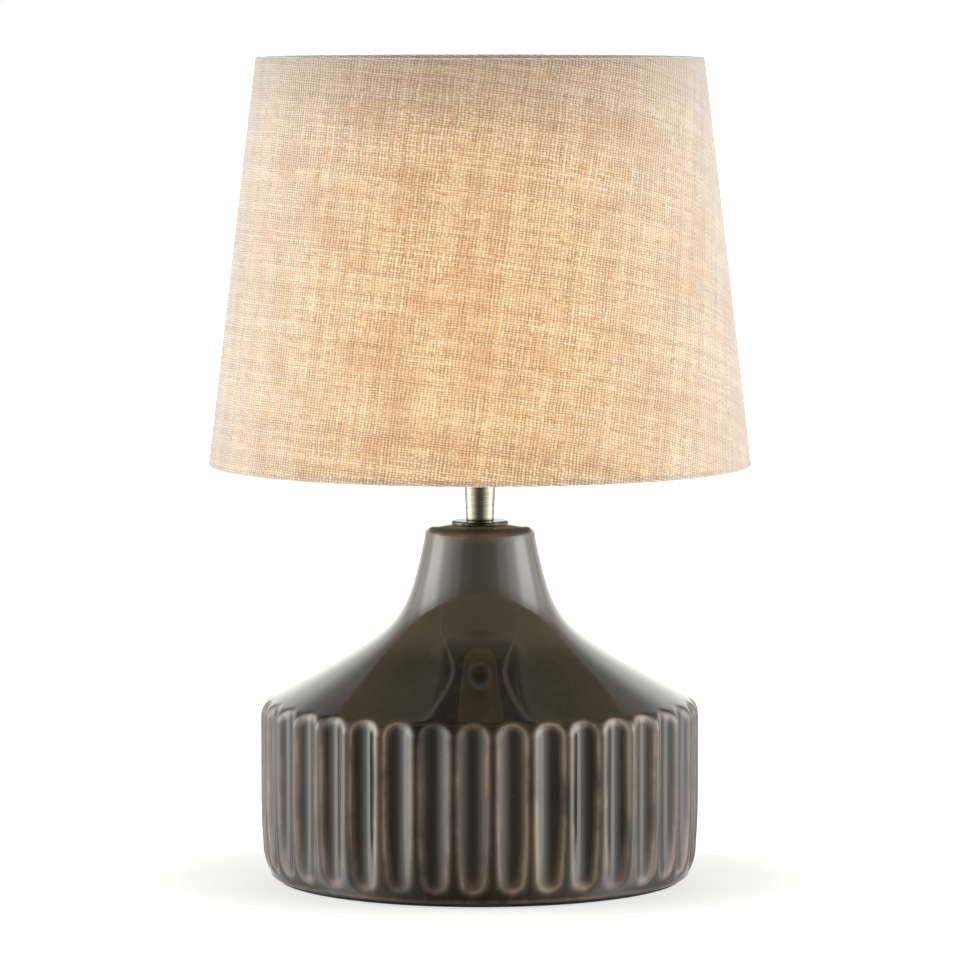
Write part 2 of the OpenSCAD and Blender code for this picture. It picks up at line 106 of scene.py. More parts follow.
def pointValue(piece, name, values):
    attribute = piece.data.attributes.new(name, "FLOAT", "POINT")
    attribute.data.foreach_set("value", np.asarray(values, np.float32).ravel())


def feed(tree, socket, value):  # links a node's output, or sets a plain value
    if isinstance(value, bpy.types.NodeSocket):
        tree.links.new(value, socket)
    else:
        socket.default_value = value


def addNode(tree, kind, inputs=(), **settings):
    made = tree.nodes.new(kind)
    for key, value in settings.items():
        setattr(made, key, value)
    for key, value in dict(inputs).items():
        feed(tree, made.inputs[key], value)
    return made


def calc(tree, operation, *values, clamp=False):
    made = addNode(tree, "ShaderNodeMath", enumerate(values), operation=operation, use_clamp=clamp)
    return made.outputs[0]


def remap(tree, value, low, high, toLow=0.0, toHigh=1.0):
    inputs = {"Value": value, "From Min": low, "From Max": high, "To Min": toLow, "To Max": toHigh}
    return addNode(tree, "ShaderNodeMapRange", inputs, interpolation_type="SMOOTHSTEP").outputs[0]


def mixColour(tree, factor, a, b, blend="MIX"):
    made = addNode(tree, "ShaderNodeMix", {"Factor": factor}, data_type="RGBA", blend_type=blend)
    feed(tree, made.inputs[6], a if isinstance(a, bpy.types.NodeSocket) else (*a, 1))
    feed(tree, made.inputs[7], b if isinstance(b, bpy.types.NodeSocket) else (*b, 1))
    return made.outputs[2]


def noise(tree, vector, scale, detail=2.0, rough=0.5):
    inputs = {"Vector": vector, "Scale": scale, "Detail": detail, "Roughness": rough}
    return addNode(tree, "ShaderNodeTexNoise", inputs).outputs[0]


def objectPlace(tree, stretch=(1, 1, 1), turn=0.0):  # the piece's own coordinates in metres
    place = addNode(tree, "ShaderNodeTexCoord").outputs["Object"]
    inputs = {"Vector": place, "Scale": stretch, "Rotation": (0, 0, turn)}
    return addNode(tree, "ShaderNodeMapping", inputs).outputs[0]


def bump(tree, height, distance, strength=1.0):
    inputs = {"Height": height, "Distance": distance, "Strength": strength}
    return addNode(tree, "ShaderNodeBump", inputs).outputs[0]


def newMaterial(name):
    material = bpy.data.materials.new(name)
    material.use_nodes = True
    return material, material.node_tree, material.node_tree.nodes["Principled BSDF"]


def setShader(tree, shader, **values):
    names = {
        "colour": "Base Color", "rough": "Roughness", "metal": "Metallic", "ior": "IOR", "normal": "Normal",
        "sheen": "Sheen Weight", "sheenRough": "Sheen Roughness", "through": "Transmission Weight",
        "glow": "Emission Color", "glowStrength": "Emission Strength",
    }
    for key, value in values.items():
        if isinstance(value, tuple) and len(value) == 3:
            value = (*value, 1)
        feed(tree, shader.inputs[names[key]], value)


# the usual finish: two tones in soft clouds, and a fine grain in the gloss
def mottled(name, dark, light, scale, rough, stretch=(1, 1, 1), depth=0.0, fine=None, metal=0.0, **more):
    material, tree, shader = newMaterial(name)
    place = objectPlace(tree, stretch)
    cloud = noise(tree, place, scale, 4.0, 0.6)
    grain = noise(tree, place, fine or scale * 6, 3.0, 0.6)
    setShader(tree, shader, metal=metal, **more)
    setShader(tree, shader, colour=mixColour(tree, remap(tree, cloud, 0.3, 0.7), dark, light))
    setShader(tree, shader, rough=remap(tree, grain, 0.3, 0.7, rough[0], rough[1]))
    if depth:
        setShader(tree, shader, normal=bump(tree, grain, depth))
    return material


def threadedMetal(name, dark, light, pitch, rough):  # rings cut round the axis, as a fine thread shows, with painted shade in the grooves
    material, tree, shader = newMaterial(name)
    place = objectPlace(tree)
    height = addNode(tree, "ShaderNodeSeparateXYZ", {"Vector": place}).outputs["Z"]
    wave = calc(tree, "SINE", calc(tree, "MULTIPLY", height, 2 * math.pi / (pitch * mm)))
    groove = remap(tree, wave, -0.8, 0.8)
    tarnish = noise(tree, place, 160.0, 4.0, 0.6)
    # painted shade in each groove of the thread, with tarnish in soft clouds
    grooveShadeAndTarnish = calc(tree, "MULTIPLY", groove, remap(tree, tarnish, 0.25, 0.75, 0.6, 1.0))
    setShader(tree, shader, metal=1.0, colour=mixColour(tree, grooveShadeAndTarnish, dark, light))
    setShader(tree, shader, rough=remap(tree, tarnish, 0.3, 0.7, *rough))
    setShader(tree, shader, normal=bump(tree, groove, pitch * 0.3 * mm))
    return material


# slot: name, darker tone, lighter tone, size of the clouds, least and most roughness, and what else differs
finishes = {
    "hardboard": ("hardboardFibre", (0.16, 0.09, 0.045), (0.30, 0.19, 0.10), 120.0, (0.7, 0.9),
                  {"depth": 0.0004}),
    "rubber": ("blackRubber", (0.012, 0.012, 0.012), (0.028, 0.027, 0.026), 150.0, (0.45, 0.65),
               {"depth": 0.0001}),
    "steel": ("zincSteel", (0.42, 0.43, 0.45), (0.66, 0.67, 0.68), 400.0, (0.22, 0.42), {"metal": 1.0}),
    "dark_steel": ("blackenedSteel", (0.03, 0.028, 0.026), (0.10, 0.095, 0.088), 300.0, (0.16, 0.30),
                   {"metal": 1.0, "depth": 0.00004}),
    "satin_nickel": ("turnedNickel", (0.29, 0.255, 0.195), (0.41, 0.36, 0.285), 60.0, (0.15, 0.23),
                     {"metal": 1.0, "depth": 0.000004, "fine": 150.0, "stretch": (1, 1, 30)}),
    "black_plastic": ("blackThermoset", (0.010, 0.010, 0.011), (0.022, 0.021, 0.020), 90.0, (0.30, 0.45),
                      {"depth": 0.00006}),
    "steatite": ("creamSteatite", (0.62, 0.56, 0.45), (0.76, 0.71, 0.60), 200.0, (0.35, 0.55),
                 {"depth": 0.00008}),
    "plated_shell": ("platedShell", (0.24, 0.235, 0.21), (0.36, 0.35, 0.32), 250.0, (0.2, 0.34),
                     {"metal": 1.0}),
    "white_wire": ("whitePowderCoat", (0.70, 0.69, 0.66), (0.80, 0.79, 0.77), 80.0, (0.38, 0.55),
                   {"depth": 0.00012, "fine": 900.0}),
    "solder": ("solderTip", (0.40, 0.40, 0.42), (0.68, 0.68, 0.70), 500.0, (0.25, 0.5),
               {"metal": 1.0, "depth": 0.0002}),
    "black_glass": ("blackVitrite", (0.008, 0.008, 0.010), (0.025, 0.024, 0.030), 300.0, (0.06, 0.14), {}),
    "clear_glass": ("clearStem", (0.86, 0.90, 0.90), (0.94, 0.96, 0.96), 60.0, (0.02, 0.06),
                    {"through": 1.0, "ior": 1.5}),
}
brass = {"dark": (0.30, 0.20, 0.07), "light": (0.80, 0.60, 0.28), "pitch": 1.0, "rough": (0.18, 0.34)}


bulbLight = {
    "colour": (1.0, 0.80, 0.52),
    "power": 0.08,  # watts of the point light
    "glass": 0.84,  # glow of the glass
    "filament": 5.0,  # glow of the filaments
    "softness": 0.018,  # metres, radius of the point light
}


def opalGlass():  # brightest where the filaments are close behind the glass
    material, tree, shader = newMaterial("litOpalGlass")
    place = objectPlace(tree)
    height = addNode(tree, "ShaderNodeSeparateXYZ", {"Vector": place}).outputs["Z"]
    low, high = span("bulb_glass")
    tall = (high - low) * mm
    warm = remap(tree, height, low * mm + 0.3 * tall, low * mm + 0.9 * tall)
    cloud = noise(tree, place, 90.0, 3.0)
    glow = calc(tree, "MULTIPLY", warm, remap(tree, cloud, 0.2, 0.8, 0.94, 1.0))
    tint = mixColour(tree, cloud, (0.15, 0.135, 0.11), (0.19, 0.17, 0.14))
    setShader(tree, shader, colour=tint, rough=0.3)
    setShader(tree, shader, glow=mixColour(tree, glow, (0.20, 0.12, 0.055), (1.0, 0.82, 0.54)))
    setShader(tree, shader, glowStrength=bulbLight["glass"])
    return material


def glowingPhosphor():
    material, tree, shader = newMaterial("glowingPhosphor")
    cloud = noise(tree, objectPlace(tree), 900.0, 3.0)
    setShader(tree, shader, colour=mixColour(tree, cloud, (0.85, 0.55, 0.12), (0.95, 0.70, 0.22)), rough=0.6)
    setShader(tree, shader, glow=mixColour(tree, cloud, (1.0, 0.62, 0.22), (1.0, 0.78, 0.40)))
    setShader(tree, shader, glowStrength=bulbLight["filament"])
    return material


def lightBulb():
    low, high = span("bulb_glass")
    light = bpy.data.lights.new("bulbLight", "POINT")
    light.energy, light.color = bulbLight["power"], bulbLight["colour"]
    light.shadow_soft_size = bulbLight["softness"]
    lamp = bpy.data.objects.new("bulbLight", light)
    lamp.location = (0, 0, (low + 0.66 * (high - low)) * mm)
    lamp.visible_camera = lamp.visible_glossy = False
    lamp.parent = frame["bodies"]["bulb"]
    bpy.context.scene.collection.objects.link(lamp)
    for name in ("bulb_glass", "bulb_cap", "filament_stem", "filament_wires", "led_filaments"):
        frame["nodes"][name].visible_shadow = False  # the lit glass throws no shadow of its own


shadeCloth = {
    "clothT": 0.7,  # mm, thickness of the cloth
    "turnIn": 215.0,  # degrees that the edge goes round its wire
    "corner": 1.1,  # mm, bend at the outer edge
    "columns": 400,
    "wallRows": 60,
    "rollRows": 16,
    "patternCentre": -65.0,  # degrees from the front to the middle of the cut, seen from above
    "seamWidth": 10.0,  # mm of overlap at the seam
    "seamStep": 0.3,  # mm that the overlap stands proud
    "seamEase": 1.2,  # mm over which it rises
    "uneven": 0.02,  # mm, the cloth is never quite round
    "rim": (2.2, 3.4),  # mm from an edge, where less light comes through the folded cloth
    "dimmerH": 44.0,  # mm below the top, where the light starts to fall off
    "topLight": 0.4,
    "sideLoss": 0.4,
    "topShadeH": (34.0, 4.0),  # mm below the top, over which a painted shade makes the cloth browner
    "warpPitch": 1.6,  # mm from yarn to yarn, up the shade
    "weftPitch": 1.12,  # mm from yarn to yarn, round the shade
    "warp": ((0.35, 0.31, 0.27), (0.455, 0.43, 0.40)),  # darkest and palest yarn
    "weft": ((0.335, 0.29, 0.245), (0.455, 0.43, 0.40)),
    "gap": ((0.11, 0.062, 0.026), (0.16, 0.095, 0.045)),  # painted shade between the yarns
    "slub": (0.34, 0.23, 0.125),
    "blush": (0.45, 0.33, 0.25),
    "fibre": (0.30, 0.215, 0.14),
    "knot": (0.30, 0.18, 0.085),
    "pale": (0.54, 0.51, 0.46),
    "fleck": (0.09, 0.05, 0.025),
    "brown": (0.34, 0.235, 0.145),
    "partedShade": (0.17, 0.10, 0.05),  # painted shade where two yarns lie apart
    "light": (1.0, 0.59, 0.11),  # of the bulb through the cloth
    "glow": 1.48,
    "glowHeight": 0.34,  # share of the shade's height where it glows most
    "glowReach": 0.16,  # metres up or down to half the glow
}


def shadeSizes():
    low, high = span("shade_fabric")
    co = np.array([v.co for v in frame["nodes"]["shade_fabric"].data.vertices]) / mm
    reach = np.hypot(co[:, 0], co[:, 1])
    bottomR = float(reach[co[:, 2] < low + 0.01].max())
    topR = float(reach[co[:, 2] > high - 0.01].max())
    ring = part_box("bottom_wire_ring")
    wireR = (ring[1].z - ring[0].z) / 2 / mm
    return {
        "low": low, "high": high, "bottomR": bottomR, "topR": topR, "wireR": wireR,
        "lowWireR": nodeRadius("bottom_wire_ring") - wireR, "lowWireZ": sum(span("bottom_wire_ring")) / 2,
        "highWireR": nodeRadius("top_wire_ring") - wireR, "highWireZ": sum(span("top_wire_ring")) / 2,
        "taper": (bottomR - topR) / (high - low),
    }


def shadeLine(size):  # middle line of the cloth, from the tucked lower edge up to the tucked upper edge
    half = shadeCloth["clothT"] / 2
    coil = size["wireR"] + half
    corner, turnIn, rollRows = shadeCloth["corner"], shadeCloth["turnIn"], shadeCloth["rollRows"]
    wall = lambda z: size["bottomR"] - (z - size["low"]) * size["taper"] - half
    lowEdge, highEdge = size["low"] + half, size["high"] - half
    lowRoll = arc(size["lowWireR"], size["lowWireZ"], coil, 270 - turnIn, 270, rollRows)
    lowCorner = arc(wall(lowEdge) - corner, lowEdge + corner, corner, -90, -4, 5)
    zs = np.linspace(lowEdge + corner + 0.8, highEdge - corner - 0.8, shadeCloth["wallRows"])
    walls = np.stack([wall(zs), zs], -1)
    highCorner = arc(wall(highEdge) - corner, highEdge - corner, corner, 4, 90, 5)
    highRoll = arc(size["highWireR"], size["highWireZ"], coil, 90, 90 + turnIn, rollRows)
    return np.concatenate([lowRoll, lowCorner, walls, highCorner, highRoll])


def thicken(line, half):  # closed outline on both sides of a middle line
    along = np.gradient(line, axis=0)
    along /= np.linalg.norm(along, axis=1)[:, None]
    side = np.stack([along[:, 1], -along[:, 0]], -1)
    return np.concatenate([line + side * half, (line - side * half)[::-1]])


def makeShade(size):
    line = shadeLine(size)
    half = shadeCloth["clothT"] / 2
    outline = thicken(line, half - 0.02)  # a hair inside the full size
    grid = revolve(outline, shadeCloth["columns"])
    turn = np.linspace(0, 360, shadeCloth["columns"], endpoint=False)
    away = (turn - shadeCloth["patternCentre"]) % 360 - 180  # degrees past the seam
    arcLength = np.radians(away) * size["bottomR"]
    ease = shadeCloth["seamEase"]
    seam = np.clip(arcLength / ease, 0, 1) * np.clip((shadeCloth["seamWidth"] - arcLength) / ease, 0, 1)
    rng = np.random.default_rng(7)
    waves = [rng.normal() * np.sin(np.radians(turn) * k + rng.uniform(0, 6.28)) for k in range(3, 14)]
    wave = sum(waves) * shadeCloth["uneven"]
    rows = len(line)
    push = np.zeros(len(outline))
    push[:rows] = np.clip((outline[:rows, 0] - (size["topR"] - 6)) / 4, 0, 1)  # the outer side only
    offset = push[:, None] * (seam * shadeCloth["seamStep"] + wave)[None, :]
    flat = grid[..., :2]
    grid[..., :2] = flat * (1 + offset / np.linalg.norm(flat, axis=-1))[..., None]
    inside = np.zeros(len(outline), bool)
    inside[rows:] = True
    piece = gridPiece("wovenShade", grid, [linen(size), linenBack()], inside)
    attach(piece, "shade")
    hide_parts("shade_fabric")


def flatPlace(tree, size):  # where a point of the cone lies in the flat cut, in mm
    place = objectPlace(tree, turn=math.radians(-shadeCloth["patternCentre"]))
    parts = addNode(tree, "ShaderNodeSeparateXYZ", {"Vector": place}).outputs
    sine = math.sin(math.atan(size["taper"]))
    apex = size["low"] + size["bottomR"] / size["taper"]
    turn = calc(tree, "ARCTAN2", parts["X"], calc(tree, "MULTIPLY", parts["Y"], -1.0))
    fan = calc(tree, "MULTIPLY", turn, sine)
    drop = calc(tree, "SUBTRACT", apex, calc(tree, "DIVIDE", parts["Z"], mm))
    rho = calc(tree, "DIVIDE", drop, math.cos(math.asin(sine)))
    x = calc(tree, "MULTIPLY", rho, calc(tree, "SINE", fan))
    y = calc(tree, "MULTIPLY", rho, calc(tree, "COSINE", fan))
    return x, y, parts["Z"], turn


def join(tree, x, y, z=0.0):
    return addNode(tree, "ShaderNodeCombineXYZ", {"X": x, "Y": y, "Z": z}).outputs[0]


def yarns(tree, across, along, pitch, salt, flat):  # one set of parallel yarns
    wander = calc(tree, "MULTIPLY", calc(tree, "SUBTRACT", noise(tree, flat, 0.05, 1.0), 0.5), 1.3)
    shake = calc(tree, "MULTIPLY", calc(tree, "SUBTRACT", noise(tree, flat, 0.33, 1.0), 0.5), 0.5)
    count = calc(tree, "ADD", calc(tree, "ADD", calc(tree, "DIVIDE", across, pitch), wander), shake)
    count = calc(tree, "ADD", count, salt)
    number = calc(tree, "FLOOR", count)
    own = addNode(tree, "ShaderNodeTexWhiteNoise", {"W": number}, noise_dimensions="1D").outputs["Value"]
    run = join(tree, calc(tree, "MULTIPLY", number, 5.37), calc(tree, "MULTIPLY", along, 0.045), salt)
    slub = noise(tree, run, 1.0, 3.0, 0.6)
    thick = remap(tree, slub, 0.35, 0.75, -0.12, 0.34)
    width = calc(tree, "ADD", remap(tree, own, 0.0, 1.0, 0.66, 0.96), thick)
    centre = calc(tree, "MULTIPLY_ADD", calc(tree, "FRACT", count), 2.0, -1.0)
    ratio = calc(tree, "DIVIDE", centre, width)
    arch = calc(tree, "SUBTRACT", 1.0, calc(tree, "MULTIPLY", ratio, ratio))
    sign = calc(tree, "COSINE", calc(tree, "MULTIPLY", number, math.pi))
    # here and there two neighbours lie apart and leave a dark line of painted shade
    later = calc(tree, "ADD", count, 0.5)
    gap = calc(tree, "FLOOR", later)
    pick = {"W": calc(tree, "ADD", gap, 0.25)}
    chance = addNode(tree, "ShaderNodeTexWhiteNoise", pick, noise_dimensions="1D").outputs["Value"]
    beside = calc(tree, "ABSOLUTE", calc(tree, "SUBTRACT", calc(tree, "FRACT", later), 0.5))
    gapRun = join(tree, calc(tree, "MULTIPLY", gap, 3.71), calc(tree, "MULTIPLY", along, 0.06), salt)
    stretch = remap(tree, noise(tree, gapRun, 1.0, 1.0), 0.46, 0.56)
    apart = calc(tree, "MULTIPLY", remap(tree, beside, 0.10, 0.30, 1.0, 0.0), stretch)
    apart = calc(tree, "MULTIPLY", apart, remap(tree, chance, 0.55, 0.85))
    return {"count": count, "own": own, "slub": slub, "arch": arch, "sign": sign, "apart": apart}


def lift(tree, one, other):  # a yarn rises over every second yarn that it crosses
    rise = calc(tree, "SINE", calc(tree, "MULTIPLY", other["count"], math.pi))
    return calc(tree, "MULTIPLY", one["sign"], rise)


def linen(size):
    c = shadeCloth
    material, tree, shader = newMaterial("naturalLinen")
    x, y, height, turn = flatPlace(tree, size)
    flat = join(tree, x, y)
    warp = yarns(tree, x, y, c["warpPitch"], 3.3, flat)
    weft = yarns(tree, y, x, c["weftPitch"], 9.1, flat)
    warpLift = calc(tree, "MULTIPLY", lift(tree, warp, weft), 0.45)
    weftLift = calc(tree, "MULTIPLY", lift(tree, weft, warp), -0.45)
    warpHeight = calc(tree, "MULTIPLY_ADD", warp["arch"], 0.55, warpLift)
    weftHeight = calc(tree, "MULTIPLY_ADD", weft["arch"], 0.55, weftLift)
    top = calc(tree, "MAXIMUM", warpHeight, weftHeight)
    patchy = noise(tree, flat, 0.16, 3.0, 0.7)
    weftOver = remap(tree, calc(tree, "SUBTRACT", weftHeight, warpHeight), -0.1, 0.1)
    bead = remap(tree, top, calc(tree, "SUBTRACT", 0.05, remap(tree, patchy, 0.4, 0.65, 0.0, 0.3)), 0.85)
    fibre = noise(tree, flat, 4.0, 3.0, 0.6)
    patch = noise(tree, flat, 0.035, 3.0, 0.6)
    blush = noise(tree, flat, 0.09, 2.0)
    # colour of the yarns as daylight shows them
    warpTint, weftTint = mixColour(tree, warp["own"], *c["warp"]), mixColour(tree, weft["own"], *c["weft"])
    cloth = mixColour(tree, weftOver, warpTint, weftTint)
    warpSlub, weftSlub = remap(tree, warp["slub"], 0.62, 0.74), remap(tree, weft["slub"], 0.58, 0.70)
    slubby = calc(tree, "MAXIMUM", warpSlub, weftSlub)
    cloth = mixColour(tree, calc(tree, "MULTIPLY", slubby, 0.7), cloth, c["slub"])
    cloth = mixColour(tree, remap(tree, blush, 0.5, 0.75, 0.0, 0.5), cloth, c["blush"])
    cloth = mixColour(tree, remap(tree, fibre, 0.3, 0.7, 0.0, 0.25), cloth, c["fibre"])
    knotPlace = join(tree, calc(tree, "MULTIPLY", x, 0.20), calc(tree, "MULTIPLY", y, 0.42))
    knots = noise(tree, knotPlace, 1.0, 3.0, 0.65)
    cloth = mixColour(tree, remap(tree, knots, 0.53, 0.68, 0.0, 0.85), cloth, c["knot"])
    palePlace = join(tree, calc(tree, "MULTIPLY", x, 0.03), calc(tree, "MULTIPLY", y, 0.5), 4.0)
    pale = noise(tree, palePlace, 1.0, 3.0, 0.6)
    cloth = mixColour(tree, remap(tree, pale, 0.58, 0.72, 0.0, 0.6), cloth, c["pale"])
    apart = calc(tree, "MAXIMUM", calc(tree, "MULTIPLY", warp["apart"], 0.6), weft["apart"])
    fleck = remap(tree, noise(tree, flat, 0.9, 0.0), 0.78, 0.84)
    cloth = mixColour(tree, fleck, cloth, c["fleck"])
    # painted shade: the cloth gets browner towards the top, where less light reaches, and in random brown
    # patches
    topShadeLow, topShadeHigh = [(size["high"] - h) * mm for h in c["topShadeH"]]
    topShade = remap(tree, height, topShadeLow, topShadeHigh, 0.0, 0.42)
    brownPatchAndTopShade = calc(tree, "MAXIMUM", remap(tree, patch, 0.46, 0.70, 0.0, 0.6), topShade)
    cloth = mixColour(tree, brownPatchAndTopShade, cloth, c["brown"])
    # painted shade between the yarns: the low parts of the weave take the dark gap colour
    cloth = mixColour(tree, bead, mixColour(tree, patch, *c["gap"]), cloth)
    # painted shade along the lines where two yarns lie apart
    cloth = mixColour(tree, calc(tree, "MULTIPLY", apart, 0.5), cloth, c["partedShade"])
    # light that comes through, less at the rims where the cloth is folded round a wire
    near, far = c["rim"]
    rimLow = remap(tree, height, (size["low"] + near) * mm, (size["low"] + far) * mm, 0.5, 1.0)
    rimHigh = remap(tree, height, (size["high"] - near) * mm, (size["high"] - far) * mm, 0.5, 1.0)
    dimmer = remap(tree, height, (size["high"] - c["dimmerH"]) * mm, size["high"] * mm, 1.0, c["topLight"])
    spread = calc(tree, "MULTIPLY", glowSpread(tree, size, height, c["glowReach"]), dimmer)
    through = calc(tree, "MULTIPLY", calc(tree, "MULTIPLY", rimLow, rimHigh), spread)
    through = calc(tree, "MULTIPLY", through, remap(tree, patch, 0.3, 0.7, 1.1, 0.88))
    # and a little less at the two sides
    side = calc(tree, "SINE", calc(tree, "ADD", turn, math.radians(c["patternCentre"])))
    aside = calc(tree, "POWER", side, 2.0)
    through = calc(tree, "MULTIPLY", through, calc(tree, "MULTIPLY_ADD", aside, -c["sideLoss"], 1.0))
    light = mixColour(tree, through, (0.0, 0.0, 0.0), c["light"])
    setShader(tree, shader, colour=cloth, rough=0.85, sheen=1.0, sheenRough=0.5)
    setShader(tree, shader, glow=mixColour(tree, 1.0, cloth, light, "MULTIPLY"), glowStrength=c["glow"])
    setShader(tree, shader, normal=bump(tree, calc(tree, "MULTIPLY_ADD", fibre, 0.15, top), 0.0003))
    return material


def glowSpread(tree, size, height, reach):  # 1 beside the bulb, and a half at reach above or below it
    brightest = (size["low"] + shadeCloth["glowHeight"] * (size["high"] - size["low"])) * mm
    away = calc(tree, "DIVIDE", calc(tree, "SUBTRACT", height, brightest), reach)
    return calc(tree, "DIVIDE", 1.0, calc(tree, "ADD", 1.0, calc(tree, "MULTIPLY", away, away)))


def linenBack():
    material, tree, shader = newMaterial("linenBack")
    place = objectPlace(tree)
    cloud = noise(tree, place, 700.0, 4.0, 0.7)
    setShader(tree, shader, colour=mixColour(tree, cloud, (0.34, 0.24, 0.15), (0.62, 0.50, 0.37)), rough=0.9)
    setShader(tree, shader, normal=bump(tree, cloud, 0.0003))
    return material


shadeLining = {
    "tones": ((0.32, 0.29, 0.245), (0.37, 0.335, 0.285)),
    "light": ((0.10, 0.06, 0.03), (0.95, 0.70, 0.42)),
    "glow": 0.12,
    "glowReach": 0.11,  # metres up or down to half the glow
}


def litLining(size):
    material, tree, shader = newMaterial("litLining")
    place = objectPlace(tree)
    height = addNode(tree, "ShaderNodeSeparateXYZ", {"Vector": place}).outputs["Z"]
    cloud = noise(tree, place, 30.0, 4.0, 0.6)
    fibre = noise(tree, place, 500.0, 3.0, 0.6)
    spread = glowSpread(tree, size, height, shadeLining["glowReach"])
    spread = calc(tree, "MULTIPLY", spread, remap(tree, cloud, 0.3, 0.7, 0.9, 1.0))
    setShader(tree, shader, colour=mixColour(tree, cloud, *shadeLining["tones"]), rough=0.6)
    setShader(tree, shader, glow=mixColour(tree, spread, *shadeLining["light"]))
    setShader(tree, shader, glowStrength=shadeLining["glow"])
    setShader(tree, shader, normal=bump(tree, fibre, 0.00008))
    return material


baseShape = {  # mm, and slopes as sideways over down
    "shoulderH": 79.2, "shoulderRound": 9.0,
    "coneR": 1.6, "coneSlope": 1.975,  # the cone starts this far inside the drum
    "neckR": 22.5, "neckSlope": 0.155, "neckBlend": 12.7,
    "lipRound": 4.4, "domeH": 1.1,
    "wallT": 5.3, "neckT": 5.0, "roofT": 6.5, "studGap": 0.35, "boardGap": 0.3,
    "ledgeW": 3.5, "ledgeH": 3.0, "hollowLow": 12.0,  # ledge above the board, and where the hollow starts
    "coneEase": 1.35,  # rows lie closer together near the shoulder
    "fluteCount": 36, "fluteW": 12.6, "fluteDepth": 3.4, "fluteLow": 8.9, "ridgeSoft": 2.7,
    "sweepR": 28.0, "sweepH": 15.4, "sweepIn": 0.9, "toeRound": 1.8, "drumFull": 38.0,
    "columnsPerFlute": 20,
}


def throatR(z, foot, neckZ, drumR):
    neck = baseShape["neckR"] + baseShape["neckSlope"] * (neckZ - z)
    cone = drumR - baseShape["coneR"] + baseShape["coneSlope"] * (foot + baseShape["shoulderH"] - z)
    return (neck + cone) / 2 + np.sqrt(((neck - cone) / 2) ** 2 + baseShape["neckBlend"] ** 2)


def baseOutline(foot, neckZ, drumR):  # outside from the toe up to the washer, then the inside back down
    s = baseShape
    turn = math.degrees(math.atan(s["coneSlope"])) - 1.2
    shoulderZ = foot + s["shoulderH"] + 0.4 - s["shoulderRound"] * math.tan(math.radians(turn / 2))
    coneStart = shoulderZ + s["shoulderRound"] * math.sin(math.radians(turn))
    sweepX, sweepZ = drumR - s["sweepIn"] - s["sweepR"], foot + s["sweepH"]
    sweepLow = math.degrees(math.asin((foot + s["toeRound"] - sweepZ) / s["sweepR"]))
    toeX = sweepX + s["sweepR"] * math.cos(math.radians(sweepLow)) - s["toeRound"]
    lipZ = neckZ - s["domeH"] - s["lipRound"]
    wallZ = np.linspace(sweepZ, foot + s["drumFull"], 6)[1:]
    wallR = drumR - s["sweepIn"] * (1 - (wallZ - sweepZ) / (foot + s["drumFull"] - sweepZ)) ** 2
    drumZ = np.linspace(foot + s["drumFull"], shoulderZ, 10)[1:-1]
    coneZ = coneStart + (lipZ - coneStart) * np.linspace(0, 1, 40)[1:] ** s["coneEase"]
    washerR = nodeRadius("neck_washer")
    lipR = throatR(lipZ, foot, neckZ, drumR) - s["lipRound"]
    outside = np.concatenate([
        arc(toeX, foot + s["toeRound"], s["toeRound"], -90, -20, 6),
        arc(sweepX, sweepZ, s["sweepR"], sweepLow + 1.5, 0, 17),
        np.stack([wallR, wallZ], -1),
        np.stack([0 * drumZ + drumR, drumZ], -1),
        arc(drumR - s["shoulderRound"], shoulderZ, s["shoulderRound"], 0, turn, 18),
        np.stack([throatR(coneZ, foot, neckZ, drumR), coneZ], -1),
        arc(lipR, lipZ, s["lipRound"], 9, 84, 10),
        [[washerR + 2, neckZ - 0.28], [washerR, neckZ]],
    ])
    roofZ = neckZ - s["roofT"]
    boardR, boardTop = nodeRadius("bottom_board") + s["boardGap"], span("bottom_board")[1]
    studR = nodeRadius("threaded_tube") + s["studGap"]
    ledgeR, ledgeZ = boardR - s["ledgeW"], boardTop + s["ledgeH"]
    insideZ = np.linspace(roofZ, boardTop + s["hollowLow"], 12)
    cavity = drumR - s["fluteDepth"] - s["wallT"] - 1
    insideR = np.minimum(cavity, throatR(insideZ + 3.5, foot, neckZ, drumR) - s["neckT"])
    inside = np.concatenate([
        [[studR, neckZ], [studR, roofZ]],
        np.stack([insideR, insideZ], -1),
        [[ledgeR, ledgeZ], [ledgeR, boardTop], [boardR, boardTop], [boardR, foot]],
    ])
    return outside, inside


